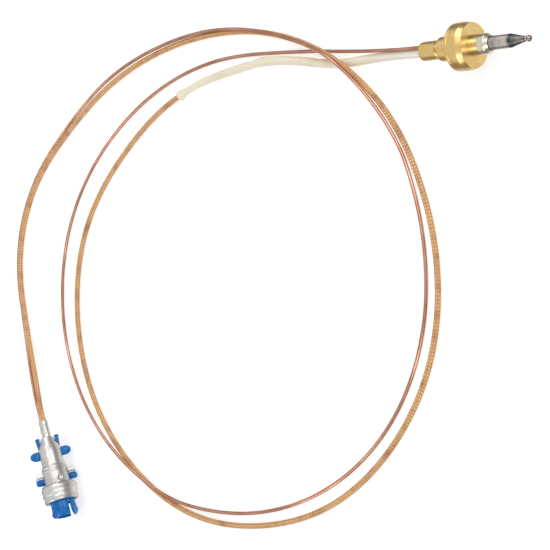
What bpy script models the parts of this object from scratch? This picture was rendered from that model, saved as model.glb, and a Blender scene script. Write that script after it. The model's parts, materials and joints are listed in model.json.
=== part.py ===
"""Cooker thermocouple: a brass head with a pencil probe, a bare copper lead and a
braided lead in a short sleeve, and a quick-fit plug with two squeeze latches.

Lengths are in millimetres and are scaled to metres where a mesh or a place is made.
The part lies on z = 0. The head's axis is +X, and the origin is below the head's middle.
"""

import math

import bmesh
import bpy
import numpy as np
from mathutils import Euler, Matrix, Vector

MM = 0.001
GAP = 0.12  # clearance between nested pieces
ROUND = 40  # sides of a turned piece
SMALL_ROUND = 20  # sides of a thin turned piece

# Head, along its axis from the origin's plane
FLANGE_RADIUS = 6.0
HEAD_AXIS_HEIGHT = FLANGE_RADIUS
NECK_REAR = -16.2
COLLAR_REAR = -11.1
FLANGE_REAR = -5.6
FLANGE_FRONT = -0.6
FLANGE_FACE_RADIUS = 5.65
FLANGE_TAPER = 1.55  # length over which the rim narrows to the front face
FLANGE_SEAT_DEPTH = 0.5  # the ferrule stands in a shallow seat
BUSH_SPIGOT_END = -2.6
FERRULE_FRONT = 4.6
FERRULE_RADIUS = 2.6
CONE_START = 10.1
CONE_END = 14.3
BEAD_CENTRE = 15.4
NECK_RADIUS = 2.42
COLLAR_RADIUS = 3.1
BUSH_BORE = 2.05
SHEATH_RADIUS = 1.72
SHEATH_BORE = 1.35
SHEATH_REAR = -4.6
CONE_TIP_RADIUS = 0.78
BEAD_RADIUS = 0.83
CORE_RADIUS = 0.3
CORE_REAR = -8.7

# Leads
COPPER_RADIUS = 0.5
BRAID_RADIUS = 0.8
SLEEVE_OUTER = 1.25
SLEEVE_INNER = 1.02
SLEEVE_START = 6.0  # distance along the braided lead
SLEEVE_END = 106.0
SLEEVE_FLARE = 0.2
LEAD_POINTS = 80

# Plug, along its own axis from the rear end of its crimp ferrule
PLUG_REAR = (-171.85, -103.03, 5.95)
PLUG_YAW = -67.5
PLUG_ROLL = -52.0
CONE_REAR = 5.6
UPPER_BODY_REAR = 9.0
UPPER_BODY_FRONT = 14.2
BEAD_RING_REAR = 14.8
LOWER_BODY_REAR = 16.3
SHELL_FRONT = 26.3
LOWER_BODY_RADIUS = 4.25
LOWER_BODY_BORE = 3.87
PLUG_COLLAR_RADIUS = 5.86
PLUG_COLLAR_REAR = 21.0
PLUG_COLLAR_FRONT = 26.6
SPIGOT_END = 31.4
SPIGOT_BORE = 2.7
SAW_CUT_REAR = 27.3
SAW_CUT_SIDES = (1.65, 2.15)  # distances of the cut's two walls from the axis
EYELET_PLACE = 19.6
EYELET_ANGLE = 14.0

# Latch arms, along the plug's axis and out from it
ARM_HINGE = (21.9, 3.05)
ARM_INNER = 2.8
ARM_OUTER = 3.45
ARM_WIDTH = 1.8
ARM_REAR = 5.3
TAIL_INNER = 2.35
TAIL_OUTER = 3.8
WING_REACH = 6.5
NUB_REACH = 6.65
NUB_REAR = 18.0
NUB_FRONT = 20.4
SLOT_WIDTH = 2.15
WINDOW_REAR = 17.0
WINDOW_FRONT = 20.7

# The route of each lead's centre line, from inside the head to inside the plug
COPPER_ROUTE = [
    (-11.6, 0.9, 7.1), (-18.5, 1.0, 6.95), (-27.5, 1.55, 5.85), (-36.3, 2.4, 3.9),
    (-46.0, 3.5, 1.9), (-56.5, 4.7, 0.9), (-72.0, 5.9, 0.5), (-94.3, 6.2, 0.5),
    (-116.4, 1.7, 0.5), (-136.6, -8.1, 0.5), (-153.7, -22.8, 0.5), (-165.2, -42.1, 0.5),
    (-168.5, -64.3, 0.5), (-162.0, -88.8, 0.6), (-149.3, -103.9, 1.7), (-129.5, -116.5, 2.75),
    (-113.0, -122.9, 1.8), (-99.0, -124.5, 0.7), (-81.0, -123.2, 0.5), (-61.5, -117.5, 0.5),
    (-43.2, -106.7, 0.5), (-28.1, -89.4, 0.5), (-20.5, -67.9, 0.5), (-21.1, -45.0, 0.5),
    (-28.2, -23.6, 0.7), (-34.8, -12.2, 3.0), (-47.3, 0.5, 5.2), (-64.3, 8.4, 3.0),
    (-74.9, 11.6, 2.35), (-99.1, 14.7, 1.95), (-123.4, 11.7, 1.8), (-146.6, 4.0, 1.0),
    (-167.3, -9.6, 0.5), (-184.6, -27.6, 0.5), (-192.0, -51.1, 0.5), (-189.0, -70.4, 0.7),
    (-183.2, -84.4, 2.7), (-177.8, -94.2, 4.7), (-173.4, -101.5, 5.95), (-170.2, -109.4, 5.95),
]
BRAID_ROUTE = [
    (-9.0, 0.0, 6.0), (-16.5, -0.2, 5.5), (-25.5, 0.2, 4.6), (-33.3, 0.5, 3.1),
    (-41.2, 0.5, 1.9), (-50.1, 0.7, 1.35), (-60.0, 2.1, 1.3), (-71.8, 3.6, 1.3),
    (-87.8, 2.6, 1.3), (-102.6, -0.1, 1.4), (-116.6, -5.1, 1.35), (-139.6, -20.5, 0.8),
    (-156.4, -42.4, 0.8), (-160.4, -69.8, 0.8), (-151.6, -96.0, 0.8), (-132.2, -115.7, 0.8),
    (-106.7, -126.4, 0.8), (-79.0, -126.6, 0.8), (-52.5, -118.3, 0.8), (-31.0, -100.9, 0.8),
    (-17.9, -76.6, 0.8), (-16.8, -48.9, 0.8), (-26.2, -22.9, 0.9), (-33.8, -11.5, 1.9),
    (-47.2, 0.6, 3.7), (-55.1, 4.8, 2.9), (-64.3, 8.4, 1.5), (-74.9, 11.5, 0.85),
    (-99.1, 13.7, 0.8), (-123.1, 10.5, 0.8), (-145.8, 2.2, 0.8), (-166.1, -11.1, 0.8),
    (-183.2, -28.4, 0.8), (-190.5, -51.3, 0.8), (-187.6, -70.0, 1.0), (-181.7, -83.7, 2.6),
    (-176.2, -93.4, 4.6), (-172.1, -101.0, 5.95), (-169.2, -107.9, 5.95), (-168.2, -111.7, 5.95),
    (-167.2, -114.3, 5.95),
]


def clear_scene():
    for obj in list(bpy.data.objects):
        bpy.data.objects.remove(obj, do_unlink=True)


def make_material(name, colour, roughness, metallic):
    material = bpy.data.materials.new(name)
    material.use_nodes = True
    shader = material.node_tree.nodes["Principled BSDF"]
    shader.inputs["Base Color"].default_value = (*colour, 1.0)
    shader.inputs["Roughness"].default_value = roughness
    shader.inputs["Metallic"].default_value = metallic
    return material


def add_empty(name, location, rotation=(0.0, 0.0, 0.0), parent=None):
    empty = bpy.data.objects.new(name, None)
    empty.location = Vector(location) * MM
    empty.rotation_euler = rotation
    empty.parent = parent
    bpy.context.collection.objects.link(empty)
    return empty


def add_object(name, mesh, parent, material, sharp=35.0):
    mesh.shade_smooth()
    mesh.set_sharp_from_angle(angle=math.radians(sharp))
    obj = bpy.data.objects.new(name, mesh)
    obj.data.materials.append(material)
    obj.parent = parent
    bpy.context.collection.objects.link(obj)
    return obj


def finished_mesh(name, bm):
    bmesh.ops.remove_doubles(bm, verts=bm.verts, dist=1e-7)
    bmesh.ops.recalc_face_normals(bm, faces=bm.faces)
    mesh = bpy.data.meshes.new(name)
    bm.to_mesh(mesh)
    bm.free()
    return mesh


def turned_mesh(name, profile, sides=ROUND):
    """A solid of revolution about +X. The profile is a closed loop of (place, radius) pairs.
    Two of its points may lie on the axis, and the edge between them is left out."""
    bm = bmesh.new()
    points = [bm.verts.new((x * MM, 0.0, r * MM)) for x, r in profile]
    edges = []
    for (a, b), (start, end) in zip(
        zip(points, points[1:] + points[:1]), zip(profile, profile[1:] + profile[:1])
    ):
        if start[1] or end[1]:
            edges.append(bm.edges.new((a, b)))
    bmesh.ops.spin(
        bm, geom=points + edges, cent=(0, 0, 0), axis=(1, 0, 0), angle=math.tau, steps=sides
    )
    return finished_mesh(name, bm)


def extruded_mesh(name, outline, width):
    """An outline of (x, y) pairs, extruded along Z about its middle."""
    bm = bmesh.new()
    points = [bm.verts.new((x * MM, y * MM, -width * MM / 2)) for x, y in outline]
    face = bm.faces.new(points)
    grown = bmesh.ops.extrude_face_region(bm, geom=[face])
    top = [item for item in grown["geom"] if isinstance(item, bmesh.types.BMVert)]
    bmesh.ops.translate(bm, verts=top, vec=(0, 0, width * MM))
    return finished_mesh(name, bm)


def box_mesh(name, low, high):
    bm = bmesh.new()
    middle = (Vector(low) + Vector(high)) * MM / 2
    size = (Vector(high) - Vector(low)) * MM
    bmesh.ops.create_cube(bm, size=1.0, matrix=Matrix.Translation(middle) @ Matrix.Diagonal((*size, 1)))
    return finished_mesh(name, bm)


def combine(target, tool_mesh, operation, turn=0.0):
    """Cuts a mesh from the target, or joins it on, through a hidden tool turned about +X."""
    tool = bpy.data.objects.new(tool_mesh.name, tool_mesh)
    tool.parent = target.parent
    tool.rotation_euler = (math.radians(turn), 0.0, 0.0)
    tool.hide_render = True
    tool.display_type = "WIRE"
    bpy.context.collection.objects.link(tool)
    modifier = target.modifiers.new(tool_mesh.name, "BOOLEAN")
    modifier.operation = operation
    modifier.solver = "EXACT"
    modifier.object = tool


def tube_profile(start, end, inner, outer):
    return [(start, outer), (end, outer), (end, inner), (start, inner)]


def arc(centre, radius, start, end, steps):
    """Points of an arc, from one angle to another in degrees, as (x, y) pairs."""
    turn = np.radians(np.linspace(start, end, steps + 1))
    return [(centre[0] + radius * math.cos(t), centre[1] + radius * math.sin(t)) for t in turn]


# ---- Leads ----


def natural_spline(route):
    """The chord distances and second derivatives of a natural cubic through the route."""
    points = np.array(route, float)
    places = np.concatenate([[0.0], np.cumsum(np.linalg.norm(np.diff(points, axis=0), axis=1))])
    step = np.diff(places)
    slope = np.diff(points, axis=0) / step[:, None]
    matrix = np.eye(len(points))
    right = np.zeros_like(points)
    for i in range(1, len(points) - 1):
        matrix[i, i - 1 : i + 2] = step[i - 1], 2 * (step[i - 1] + step[i]), step[i]
        right[i] = 6 * (slope[i] - slope[i - 1])
    return points, places, np.linalg.solve(matrix, right)


def along(route, wanted):
    """Points of the smooth curve through the route, at the wanted distances."""
    points, places, bend = natural_spline(route)
    i = np.clip(np.searchsorted(places, wanted, side="right") - 1, 0, len(points) - 2)
    step = (places[i + 1] - places[i])[:, None]
    before = (places[i + 1] - wanted)[:, None]
    after = (wanted - places[i])[:, None]
    return (
        bend[i] * before**3 / (6 * step)
        + bend[i + 1] * after**3 / (6 * step)
        + (points[i] / step - bend[i] * step / 6) * before
        + (points[i + 1] / step - bend[i + 1] * step / 6) * after
    )


def lead_places(route):
    """Distances along a lead, twice as close together near its two ends, where it bends most."""
    total = natural_spline(route)[1][-1]
    share = np.linspace(0.0, 1.0, LEAD_POINTS)
    return total * (share - 0.55 * np.sin(math.tau * share) / math.tau)


def lead_points(route, radius):
    """The lead's centre line. Where it lies on the table it is one radius above it."""
    line = along(route, lead_places(route))
    line[:, 2] = np.maximum(line[:, 2], radius)
    return line


def braid_points():
    """The braided lead's centre line, which its sleeve lifts a little."""
    places = lead_places(BRAID_ROUTE)
    line = lead_points(BRAID_ROUTE, BRAID_RADIUS)
    sleeved = places < SLEEVE_END + 6.0
    flared = sleeved & (places > SLEEVE_END - 6.0)
    line[:, 2] = np.maximum(line[:, 2], SLEEVE_OUTER * sleeved + SLEEVE_FLARE * flared)
    return line


def make_lead(name, line, radius, material):
    curve = bpy.data.curves.new(name, "CURVE")
    curve.dimensions = "3D"
    curve.bevel_depth = radius * MM
    curve.bevel_resolution = 2
    curve.use_fill_caps = True
    spline = curve.splines.new("POLY")
    spline.points.add(len(line) - 1)
    spline.points.foreach_set("co", np.c_[line * MM, np.ones(len(line))].ravel())
    curve.materials.append(material)
    obj = bpy.data.objects.new(name, curve)
    bpy.context.collection.objects.link(obj)
    return obj


def make_sleeve(material):
    """A hollow sleeve on the braided lead, a little flared at its far end."""
    sides = 14
    places = lead_places(BRAID_ROUTE)
    between = places[(places > SLEEVE_START + 1.0) & (places < SLEEVE_END - 1.0)]
    wanted = np.concatenate([[SLEEVE_START], between, [SLEEVE_END]])
    line = np.stack([np.interp(wanted, places, row) for row in braid_points().T], axis=1)
    bm = bmesh.new()
    rings = []
    for i, point in enumerate(line):
        ahead = Vector(line[min(i + 1, len(line) - 1)] - line[max(i - 1, 0)]).normalized()
        side = ahead.cross(Vector((0, 0, 1))).normalized()
        up = side.cross(ahead)
        flare = SLEEVE_FLARE if i == len(line) - 1 else 0.0
        for radius in (SLEEVE_OUTER + flare, SLEEVE_INNER + flare):
            angles = (math.tau * k / sides for k in range(sides))
            ring = [Vector(point) + radius * (side * math.cos(t) + up * math.sin(t)) for t in angles]
            rings.append([bm.verts.new(p * MM) for p in ring])
    outer, inner = rings[0::2], rings[1::2]
    loops = outer + inner[::-1] + outer[:1]
    for first, second in zip(loops, loops[1:]):
        for k in range(sides):
            n = (k + 1) % sides
            bm.faces.new((first[k], first[n], second[n], second[k]))
    return add_object("insulating_sleeve", finished_mesh("insulating_sleeve", bm), None, material)


# ---- Head ----


def make_head(brass, nickel, steel, copper, constantan, ceramic):
    head = add_empty("head_axis", (0.0, 0.0, HEAD_AXIS_HEIGHT))
    add_object(
        "mounting_flange",
        turned_mesh(
            "mounting_flange",
            [
                (FLANGE_REAR, 5.75),
                (FLANGE_REAR + 0.2, 5.95),
                (FLANGE_REAR + 0.6, 5.95),
                (FLANGE_REAR + 0.85, 5.75),
                (FLANGE_REAR + 1.1, FLANGE_RADIUS),
                (FLANGE_FRONT - FLANGE_TAPER, FLANGE_RADIUS),
                (FLANGE_FRONT, FLANGE_FACE_RADIUS),
                (FLANGE_FRONT, FERRULE_RADIUS + GAP),
                (FLANGE_FRONT - FLANGE_SEAT_DEPTH, FERRULE_RADIUS + GAP),
                (FLANGE_FRONT - FLANGE_SEAT_DEPTH, SHEATH_RADIUS + GAP),
                (BUSH_SPIGOT_END + GAP, SHEATH_RADIUS + GAP),
                (BUSH_SPIGOT_END + GAP, 2.8 + GAP),
                (FLANGE_REAR + 0.35, 2.8 + GAP),
                (FLANGE_REAR, COLLAR_RADIUS + GAP),
            ],
            64,
        ),
        head,
        brass,
    )
    add_object(
        "neck_bush",
        turned_mesh(
            "neck_bush",
            [
                (NECK_REAR, BUSH_BORE),
                (NECK_REAR, 2.2),
                (NECK_REAR + 0.15, 2.33),
                (NECK_REAR + 0.5, NECK_RADIUS),
                (COLLAR_REAR - 0.25, NECK_RADIUS),
                (COLLAR_REAR + 1.0, COLLAR_RADIUS),
                (FLANGE_REAR - GAP, COLLAR_RADIUS),
                (FLANGE_REAR - GAP, 2.8),
                (BUSH_SPIGOT_END, 2.8),
                (BUSH_SPIGOT_END, BUSH_BORE),
            ],
        ),
        head,
        brass,
    )
    add_object(
        "tip_ferrule",
        turned_mesh(
            "tip_ferrule",
            [
                (FLANGE_FRONT - FLANGE_SEAT_DEPTH + GAP, SHEATH_RADIUS + GAP),
                (FLANGE_FRONT - FLANGE_SEAT_DEPTH + GAP, FERRULE_RADIUS),
                (FERRULE_FRONT - 0.5, FERRULE_RADIUS),
                (FERRULE_FRONT - 0.15, 2.45),
                (FERRULE_FRONT, 2.2),
                (FERRULE_FRONT, SHEATH_RADIUS + GAP),
            ],
        ),
        head,
        nickel,
    )
    add_object(
        "probe_sheath",
        turned_mesh(
            "probe_sheath",
            [
                (SHEATH_REAR, SHEATH_RADIUS),
                (CONE_START, SHEATH_RADIUS),
                (CONE_END, CONE_TIP_RADIUS),
                (CONE_END, CORE_RADIUS + GAP),
                (CONE_END - 0.6, CORE_RADIUS + GAP),
                (CONE_START + 0.3, SHEATH_BORE),
                (SHEATH_REAR, SHEATH_BORE),
            ],
            32,
        ),
        head,
        steel,
    )
    bead = arc((BEAD_CENTRE, 0.0), BEAD_RADIUS, 138.0, 0.0, 8)
    bead[-1] = (BEAD_CENTRE + BEAD_RADIUS, 0.0)
    add_object(
        "hot_junction_bead",
        turned_mesh(
            "hot_junction_bead",
            [(CONE_END + GAP, 0.0), (CONE_END + GAP, 0.56)] + bead,
            SMALL_ROUND,
        ),
        head,
        steel,
    )
    add_object(
        "core_wire",
        turned_mesh(
            "core_wire",
            [
                (CORE_REAR, 0.0),
                (CORE_REAR, CORE_RADIUS),
                (CONE_END, CORE_RADIUS),
                (CONE_END, 0.0),
            ],
            12,
        ),
        head,
        constantan,
    )
    tubes = [
        ("ceramic_insulator", SHEATH_REAR + 0.2, CONE_START - 0.4, CORE_RADIUS + GAP, 1.2, ceramic),
        ("cold_junction_crimp", -10.4, -7.4, BRAID_RADIUS + GAP, 1.2, copper),
        ("joint_insulator", -10.8, SHEATH_REAR - 0.4, 1.4, 1.85, ceramic),
    ]
    for name, start, end, inner, outer, material in tubes:
        profile = tube_profile(start, end, inner, outer)
        add_object(name, turned_mesh(name, profile, SMALL_ROUND), head, material)


# ---- Plug ----


def make_shell(plug, metal):
    """The drawn shell: a cone, an upper body, two rolled beads and a wider lower body."""
    outer = [
        (CONE_REAR, 2.3),
        (UPPER_BODY_REAR - 0.4, 3.5),
        (UPPER_BODY_REAR, 3.66),
        (UPPER_BODY_FRONT, 3.82),
        (BEAD_RING_REAR - 0.2, 3.95),
        (BEAD_RING_REAR, 4.15),
        (BEAD_RING_REAR + 0.35, 4.2),
        (BEAD_RING_REAR + 0.65, 4.02),
        (BEAD_RING_REAR + 0.95, 4.25),
        (LOWER_BODY_REAR - 0.2, 4.38),
        (LOWER_BODY_REAR, LOWER_BODY_RADIUS),
        (SHELL_FRONT, LOWER_BODY_RADIUS),
    ]
    inner = [
        (SHELL_FRONT, LOWER_BODY_BORE),
        (BEAD_RING_REAR + 0.2, LOWER_BODY_BORE),
        (BEAD_RING_REAR - 0.4, 3.76),
        (UPPER_BODY_FRONT - 0.3, 3.5),
        (UPPER_BODY_REAR, 3.3),
        (CONE_REAR, 1.95),
    ]
    shell = add_object("plug_shell", turned_mesh("plug_shell", outer + inner, 48), plug, metal)
    slot = box_mesh("side_slots", (4.0, -8.0, -SLOT_WIDTH / 2), (14.2, 8.0, SLOT_WIDTH / 2))
    window = box_mesh("side_windows", (WINDOW_REAR, -8.0, -1.3), (WINDOW_FRONT, 8.0, 1.3))
    for cutter in (slot, window):
        combine(shell, cutter, "DIFFERENCE")
    hole = turned_mesh("eyelet_hole", [(3.0, 0.0), (3.0, 0.72), (6.0, 0.72), (6.0, 0.0)], 16)
    hole.transform(Matrix.Translation((EYELET_PLACE * MM, 0, 0)) @ Matrix.Rotation(-math.pi / 2, 4, "Y"))
    combine(shell, hole, "DIFFERENCE", turn=-EYELET_ANGLE)
    hood = [(16.35, 4.0), (16.45, 5.0), (16.75, 5.75), (17.3, 6.25), (18.1, 6.45)]
    hood += [(18.1, 6.1), (17.5, 5.92), (17.1, 5.5), (16.85, 4.9), (16.8, 4.0)]
    for index, turn in enumerate((0.0, 180.0)):
        combine(shell, extruded_mesh(f"hood_{index}", hood, 2.7), "UNION", turn=turn)


def make_collar(plug, metal):
    rear, front = PLUG_COLLAR_REAR, PLUG_COLLAR_FRONT
    profile = [
        (rear, LOWER_BODY_RADIUS + GAP),
        (rear, 5.3),
        (rear + 0.4, 5.72),
        (rear + 0.8, PLUG_COLLAR_RADIUS),
        (rear + 1.5, PLUG_COLLAR_RADIUS),
        (rear + 1.8, 5.72),
        (rear + 3.4, 5.7),
        (rear + 3.7, 5.5),
        (rear + 4.0, 5.66),
        (front - 0.9, 5.6),
        (front - 0.5, 5.4),
        (front, 5.3),
        (front, LOWER_BODY_RADIUS + GAP),
    ]
    add_object("plug_collar", turned_mesh("plug_collar", profile, 48), plug, metal)


def make_insulator(plug, plastic):
    """The insulator, with a channel for each latch arm. One saw cut splits the spigot in two."""
    body = LOWER_BODY_BORE - GAP
    profile = [
        (15.3, 1.45),
        (15.3, body),
        (SHELL_FRONT + 0.2, body),
        (SHELL_FRONT + 0.2, 3.9),
        (SPIGOT_END - 2.2, 4.0),
        (SPIGOT_END - 1.4, 4.2),
        (SPIGOT_END - 0.7, 4.1),
        (SPIGOT_END - 0.2, 3.75),
        (SPIGOT_END, 3.3),
        (SPIGOT_END, SPIGOT_BORE),
        (25.0, SPIGOT_BORE),
        (25.0, 1.45),
    ]
    mesh = turned_mesh("insulator_body", profile, 36)
    insulator = add_object("insulator_body", mesh, plug, plastic)
    for index, turn in enumerate((0.0, 180.0)):
        channel = box_mesh(f"arm_channel_{index}", (14.0, 2.1, -1.1), (22.6, 5.0, 1.1))
        combine(insulator, channel, "DIFFERENCE", turn=turn)
    low, high = SAW_CUT_SIDES
    saw_cut = box_mesh("saw_cut", (SAW_CUT_REAR, low, -6.0), (SPIGOT_END + 1.0, high, 6.0))
    combine(insulator, saw_cut, "DIFFERENCE")


def arm_outline():
    """The arm from the side: a blade, a wing to press, a nub for the window, a root."""
    wing = [(9.3, TAIL_OUTER), (9.42, 5.3)]
    wing += arc((10.25, WING_REACH - 0.8), 0.8, 160.0, 90.0, 3)
    wing += arc((11.45, WING_REACH - 0.7), 0.7, 90.0, 10.0, 3)
    wing += [(12.25, 4.9), (12.3, ARM_OUTER)]
    nub = [(NUB_REAR + 0.25, ARM_OUTER), (NUB_REAR + 0.25, 5.85), (NUB_REAR + 0.5, 6.05)]
    nub += arc((NUB_FRONT - 0.8, NUB_REACH - 0.8), 0.8, 100.0, 0.0, 4)
    nub += [(NUB_FRONT, ARM_OUTER)]
    root = [(22.3, ARM_OUTER), (22.3, ARM_INNER)]
    tail = [(12.0, ARM_INNER), (ARM_REAR + 0.2, TAIL_INNER), (ARM_REAR, TAIL_INNER + 0.2)]
    tail += [(ARM_REAR, TAIL_OUTER - 0.3), (ARM_REAR + 0.35, TAIL_OUTER)]
    return tail + wing + nub + root


def make_arms(plug, plastic):
    """Each arm's parent is an empty on its hinge, at the arm's front."""
    for name, turn in (("latch_arm_left", 180.0), ("latch_arm_right", 0.0)):
        side = add_empty(name + "_side", (0, 0, 0), (math.radians(turn), 0, 0), plug)
        hinge = add_empty(name + "_hinge", (*ARM_HINGE, 0.0), parent=side)
        outline = [(x - ARM_HINGE[0], y - ARM_HINGE[1]) for x, y in arm_outline()]
        arm = add_object(name, extruded_mesh(name, outline, ARM_WIDTH), hinge, plastic)
        bevel = arm.modifiers.new("soft_edges", "BEVEL")
        bevel.width = 0.15 * MM
        bevel.segments = 1
        bevel.limit_method = "ANGLE"
        bevel.angle_limit = math.radians(40)


def make_crimp_ferrule(plug, metal):
    """A tube pressed oval round the two leads, which lie side by side."""
    half_width, half_height, wall = 1.52, 1.12, 0.22
    bm = bmesh.new()
    ends = (0.0, 0.25, 1.4, 1.9, 3.6, 4.1, 7.0)
    swell = (0.06, 0.0, 0.0, -0.05, -0.05, 0.0, 0.0)
    sides = 28
    loops = []
    for grow, order in ((wall, 1), (0.0, -1)):
        for place, extra in list(zip(ends, swell))[::order]:
            wide = half_width + grow + (extra if grow else 0.0)
            high = half_height + grow + (extra if grow else 0.0)
            angles = (math.tau * k / sides for k in range(sides))
            ring = [(place, wide * math.cos(t), high * math.sin(t)) for t in angles]
            loops.append([bm.verts.new(Vector(p) * MM) for p in ring])
    for first, second in zip(loops, loops[1:] + loops[:1]):
        for k in range(sides):
            n = (k + 1) % sides
            bm.faces.new((first[k], first[n], second[n], second[k]))
    ferrule = add_object("lead_crimp_ferrule", finished_mesh("lead_crimp_ferrule", bm), plug, metal)
    ferrule.rotation_euler = (math.radians(-PLUG_ROLL), 0.0, 0.0)


def make_plug(metal, plastic, copper, brass, ceramic):
    angles = (math.radians(PLUG_ROLL), 0.0, math.radians(PLUG_YAW))
    plug = add_empty("plug_axis", PLUG_REAR, Euler(angles))
    make_crimp_ferrule(plug, metal)
    make_shell(plug, metal)
    make_collar(plug, metal)
    make_insulator(plug, plastic)
    make_arms(plug, plastic)
    tubes = [
        ("rear_insulating_bush", 8.9, 14.9, 1.36, 1.75, ceramic),
        ("lead_terminal", 9.3, 13.4, BRAID_RADIUS + GAP, 1.24, copper),
    ]
    for name, start, end, inner, outer, material in tubes:
        profile = tube_profile(start, end, inner, outer)
        add_object(name, turned_mesh(name, profile, SMALL_ROUND), plug, material)
    contact = [(13.6, 0.0), (13.6, 0.9), (14.2, 1.25), (28.6, 1.25), (29.0, 1.05)]
    contact += [(29.0, 0.75), (22.0, 0.75), (21.6, 0.0)]
    add_object("centre_contact", turned_mesh("centre_contact", contact, SMALL_ROUND), plug, brass)
    shank = LOWER_BODY_BORE + 0.02
    eyelet = [(shank, 0.35), (shank, 0.6), (4.36, 0.6), (4.36, 1.02), (4.5, 1.1), (4.68, 0.95)]
    eyelet += [(4.72, 0.7), (4.6, 0.45), (4.3, 0.35)]
    mesh = turned_mesh("shell_eyelet", eyelet, SMALL_ROUND)
    mesh.transform(Matrix.Translation((EYELET_PLACE * MM, 0, 0)) @ Matrix.Rotation(-math.pi / 2, 4, "Y"))
    add_object("shell_eyelet", mesh, plug, metal).rotation_euler = (math.radians(-EYELET_ANGLE), 0, 0)


def main():
    clear_scene()
    brass = make_material("brass", (0.62, 0.42, 0.12), 0.25, 1.0)
    nickel = make_material("nickel", (0.66, 0.65, 0.62), 0.22, 1.0)
    steel = make_material("probe_steel", (0.28, 0.25, 0.23), 0.4, 1.0)
    tin = make_material("tinned_metal", (0.62, 0.61, 0.58), 0.3, 1.0)
    copper = make_material("copper", (0.55, 0.25, 0.15), 0.3, 1.0)
    constantan = make_material("constantan", (0.5, 0.42, 0.36), 0.35, 1.0)
    ceramic = make_material("ceramic", (0.8, 0.78, 0.72), 0.6, 0.0)
    sleeve = make_material("sleeve", (0.8, 0.74, 0.6), 0.65, 0.0)
    braid = make_material("glass_braid", (0.62, 0.38, 0.17), 0.6, 0.0)
    plastic = make_material("blue_plastic", (0.0, 0.1, 0.5), 0.3, 0.0)
    make_head(brass, nickel, steel, copper, constantan, ceramic)
    make_lead("copper_lead", lead_points(COPPER_ROUTE, COPPER_RADIUS), COPPER_RADIUS, copper)
    make_lead("insulated_lead", braid_points(), BRAID_RADIUS, braid)
    make_sleeve(sleeve)
    make_plug(tin, plastic, copper, brass, ceramic)


main()
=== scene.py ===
"""Looks of the cooker thermocouple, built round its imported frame.

Lengths are in millimetres, and become metres where a mesh or a place is made. The camera's
and the lights' are in metres. Turned pieces are drawn about +X in their own space: the head's
is the part's +X, and the plug's is read from the record's front mount and right-hand latch.
"""

import json
import math

import bmesh
import bpy
import numpy as np
from mathutils import Matrix, Vector


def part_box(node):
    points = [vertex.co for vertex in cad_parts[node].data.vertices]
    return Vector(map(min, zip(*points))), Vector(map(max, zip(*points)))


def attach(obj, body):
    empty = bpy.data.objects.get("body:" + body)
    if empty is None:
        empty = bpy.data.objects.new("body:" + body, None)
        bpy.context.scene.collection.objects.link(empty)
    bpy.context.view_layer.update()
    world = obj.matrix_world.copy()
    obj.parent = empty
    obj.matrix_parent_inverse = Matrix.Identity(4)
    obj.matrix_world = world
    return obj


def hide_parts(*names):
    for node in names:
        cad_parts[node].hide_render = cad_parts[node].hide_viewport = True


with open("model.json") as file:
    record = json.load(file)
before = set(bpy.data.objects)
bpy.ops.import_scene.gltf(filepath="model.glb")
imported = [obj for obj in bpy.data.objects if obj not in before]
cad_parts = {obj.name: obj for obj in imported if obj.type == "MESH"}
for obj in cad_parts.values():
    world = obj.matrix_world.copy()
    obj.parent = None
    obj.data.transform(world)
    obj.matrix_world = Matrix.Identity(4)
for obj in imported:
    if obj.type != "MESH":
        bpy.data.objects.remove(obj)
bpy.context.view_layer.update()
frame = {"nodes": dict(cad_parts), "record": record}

MM = 0.001

# Camera, floor and lights, with angles in degrees
CAMERA_ELEVATION = 46.0
CAMERA_TARGET = (-0.0739, -0.0560, 0.0)
CAMERA_DISTANCE = 0.431
CAMERA_LENS = 100.9
CAMERA_NEAR = 0.01
FLOOR_HALF = 3.0
FLOOR_GLOW = 0.62
LIGHTS_TARGET = (-0.06, -0.03, 0.0)
# Name, azimuth, elevation, distance, size and brightness. Azimuth 0 is +X, on the camera's side.
PAIRED_LIGHTS = [
    ("front_softbox", 36, 31, 0.7, (0.19, 0.24), 4.0),
    ("side_softbox", 106, 30, 0.7, (0.13, 0.5), 3.5),
    ("rear_card", 166, -12, 0.7, (0.16, 0.2), 3.5),
]
OVERHEAD_LIGHT = ("overhead_softbox", 65, 62, 0.8, (0.42, 0.4), 1.5)

# Meshes
ROUND = 96  # sides of a turned piece
FILLET_STEPS = 5
DOME_STEPS = 5
SHARP_ANGLE = 35.0  # an edge that turns by more stays sharp
ON_AXIS = 1e-6  # a radius that counts as none
MERGE_DISTANCE = 2e-7  # in metres

# Leads
COPPER_RADIUS = 0.5
COPPER_SIDES = 20
COPPER_STEP = 0.5
DENT_DEPTH = 0.012
BRAID_RADIUS = 0.8
BRAID_SIDES = 30
BRAID_STEP = 0.19
BRAID_STRANDS = 6  # each way round
BRAID_PITCH = 0.95  # along the lead, from one crossing to the next
BRAID_RELIEF = 0.13
BRAID_DIP = 0.45  # a strand's height at the edge of a crossing, as a share of that in the middle
SLEEVE_RADIUS = 1.25
SLEEVE_SIDES = 40
SLEEVE_STEP = 0.3
SLEEVE_WALL = 0.2
SLEEVE_LIP = 0.06  # how far the outer edge of the mouth is drawn in
SLEEVE_START = 6.0  # distance along the braided lead
SLEEVE_END = 104.0
WAIST_DEPTH = 0.16
MOUTH_LENGTH = 4.0
MOUTH_FLARE = 0.5
FLOOR_GAP = 0.02

# Each crease or bulge of the sleeve: its place, depth and width, and its turn round the lead. A
# turn of 0 is the +Y side, and a bulge has a depth below 0.
SLEEVE_CREASES = [
    (43.0, 0.12, 1.8, 0.2), (48.0, 0.16, 1.3, 0.1), (56.3, 0.2, 0.5, 0.1), (68.6, -0.3, 2.4, 0.0),
    (70.0, 0.16, 2.2, 0.5), (73.8, 0.16, 1.6, 0.0),
]

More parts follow.
